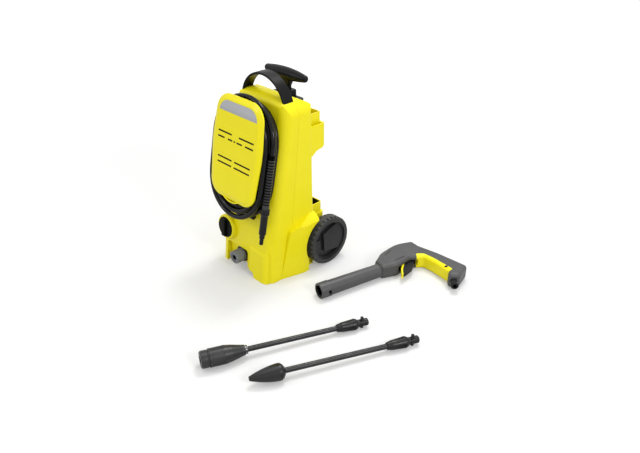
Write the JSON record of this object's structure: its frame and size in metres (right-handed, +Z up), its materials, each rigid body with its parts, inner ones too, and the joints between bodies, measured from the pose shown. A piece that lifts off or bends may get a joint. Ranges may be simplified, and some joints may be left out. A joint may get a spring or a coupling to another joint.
{
  "type": "pressure washer",
  "caption": "Upright compact pressure washer on two wheels with a front hose reel, pull-out handle, rotary switch, trigger gun and spray lances lying beside it.",
  "frame": {"origin": "on the floor under the machine, on its middle plane, at the middle of the base tray's underside", "axes": "+Z up, the machine's front faces -Y, +X to the right as seen from the front"},
  "size_m": [0.6831, 0.7446, 0.5529],
  "materials": {
    "casing_yellow": "satin moulded plastic",
    "trim_black": "fine grain",
    "badge_silver": "bare silver, no print",
    "inlet_grey": "smooth",
    "hose_black": "smooth hose",
    "hose_end_black": "smooth",
    "screw_steel": "bare steel",
    "motor_metal": "plain",
    "pump_metal": "cast",
    "tyre_black": "hard plastic tyre",
    "hub_grey": "smooth",
    "gun_grey": "fine grain",
    "gun_yellow": "satin",
    "gun_black": "smooth",
    "valve_metal": "plain",
    "lance_black": "smooth",
    "lance_tube": "smooth coated tube"
  },
  "bodies": {
    "machine": {"front_shell": "casing_yellow", "rear_shell": "casing_yellow", "front_cover": "casing_yellow", "hose_drum": "casing_yellow", "carry_handle": "trim_black", "handle_guide": "trim_black", "storage_liner": "trim_black", "cable_gland": "trim_black", "inlet_ring": "trim_black", "base_tray": "trim_black", "switch_box": "trim_black", "badge_plate": "badge_silver", "water_inlet": "inlet_grey", "hose_coil": "hose_black", "hose_strain_relief": "hose_end_black", "hose_plug": "hose_end_black", "pressure_outlet": "hose_end_black", "case_screws": "screw_steel", "axle": "screw_steel", "inlet_filter": "screw_steel", "pistons": "screw_steel", "motor_can": "motor_metal", "pump_head": "pump_metal", "suction_pipe": "pump_metal", "pressure_pipe": "pump_metal"},
    "handle": {"handle_grip": "trim_black", "handle_stem": "trim_black"},
    "switch": {"switch_knob": "trim_black"},
    "right_wheel": {"right_tyre": "tyre_black", "right_hub": "hub_grey", "right_hub_plate": "hub_grey"},
    "left_wheel": {"left_tyre": "tyre_black", "left_hub": "hub_grey", "left_hub_plate": "hub_grey"},
    "rotor": {"motor_rotor": "motor_metal"},
    "gun": {"gun_shell_left": "gun_grey", "gun_shell_right": "gun_grey", "gun_barrel": "gun_grey", "gun_muzzle": "gun_grey", "gun_valve": "valve_metal", "gun_grip_insert": "gun_yellow", "gun_hose_socket": "gun_black"},
    "trigger": {"gun_trigger": "gun_yellow", "gun_trigger_arm": "gun_black"},
    "lock_button": {"gun_lock_button": "gun_black"},
    "vario_lance": {"vario_jet": "lance_black", "vario_ring": "lance_black", "vario_tube": "lance_tube", "vario_grip": "lance_black", "vario_plug": "lance_black"},
    "vario_sleeve": {"vario_nozzle": "lance_black"},
    "rotor_lance": {"rotor_cone": "lance_black", "rotor_collar": "lance_black", "rotor_tube": "lance_tube", "rotor_grip": "lance_black", "rotor_plug": "lance_black"}
  },
  "joints": [
    {"name": "handle_slide", "type": "slide", "parent": "machine", "child": "handle", "axis": [0, 0, 1], "range_m": [0, 0.13]},
    {"name": "right_wheel_spin", "type": "hinge", "parent": "machine", "child": "right_wheel", "pos_m": [0.1224, 0.0769, 0.0716], "axis": [1, 0, 0], "continuous": true},
    {"name": "left_wheel_spin", "type": "hinge", "parent": "machine", "child": "left_wheel", "pos_m": [-0.1224, 0.0769, 0.0716], "axis": [1, 0, 0], "continuous": true},
    {"name": "switch_turn", "type": "hinge", "parent": "machine", "child": "switch", "pos_m": [-0.075, -0.11543, 0.11016], "axis": [0, -0.9945, 0.1044], "range_deg": [-90, 0]},
    {"name": "motor_spin", "type": "hinge", "parent": "machine", "child": "rotor", "pos_m": [0, -0.022, 0.24], "axis": [0, 0, 1], "continuous": true},
    {"name": "gun_lift", "type": "slide", "parent": "machine", "child": "gun", "axis": [0, 0, 1], "range_m": [0, 0.3]},
    {"name": "trigger_pull", "type": "hinge", "parent": "gun", "child": "trigger", "pos_m": [0.30669, 0.2166, 0.0221], "axis": [0, 0, 1], "range_deg": [0, 10], "stiffness_Nm_per_rad": 0.6, "springref_deg": -2.86},
    {"name": "lock_button_push", "type": "slide", "parent": "gun", "child": "lock_button", "axis": [0, 0, -1], "range_m": [0, 0.0025]},
    {"name": "vario_lance_lift", "type": "slide", "parent": "machine", "child": "vario_lance", "axis": [0, 0, 1], "range_m": [0, 0.3]},
    {"name": "vario_nozzle_twist", "type": "hinge", "parent": "vario_lance", "child": "vario_sleeve", "pos_m": [0.242, -0.4477, 0.02397], "axis": [0.3906, 0.9202, -0.0242], "range_deg": [0, 180]},
    {"name": "rotor_lance_lift", "type": "slide", "parent": "machine", "child": "rotor_lance", "axis": [0, 0, 1], "range_m": [0, 0.3]}
  ]
}
